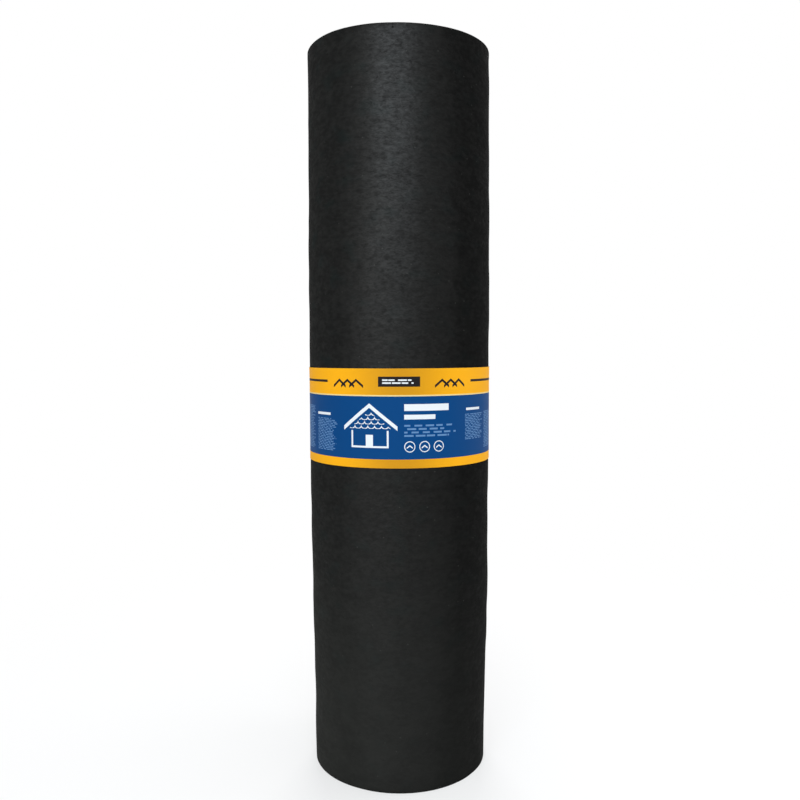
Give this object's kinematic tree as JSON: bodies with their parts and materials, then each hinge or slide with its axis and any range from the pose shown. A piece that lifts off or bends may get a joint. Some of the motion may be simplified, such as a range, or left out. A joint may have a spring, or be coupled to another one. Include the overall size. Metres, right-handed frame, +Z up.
{
  "type": "roll of roofing felt",
  "caption": "Tall cylindrical roll of black asphalt-saturated roofing felt standing on end, wound round an open bore and held at mid-height by a printed paper band.",
  "frame": {"origin": "on the roll's axis, at the foot that it stands on", "axes": "+Z up along the roll's axis; the front of the printed band faces -Y, and the sheet's free edge lies behind"},
  "size_m": [0.2342, 0.2352, 0.9144],
  "materials": {
    "felt": "matte",
    "printed_paper": "matte"
  },
  "bodies": {
    "root": {"felt_roll": "felt", "paper_band": "printed_paper"}
  },
  "joints": []
}
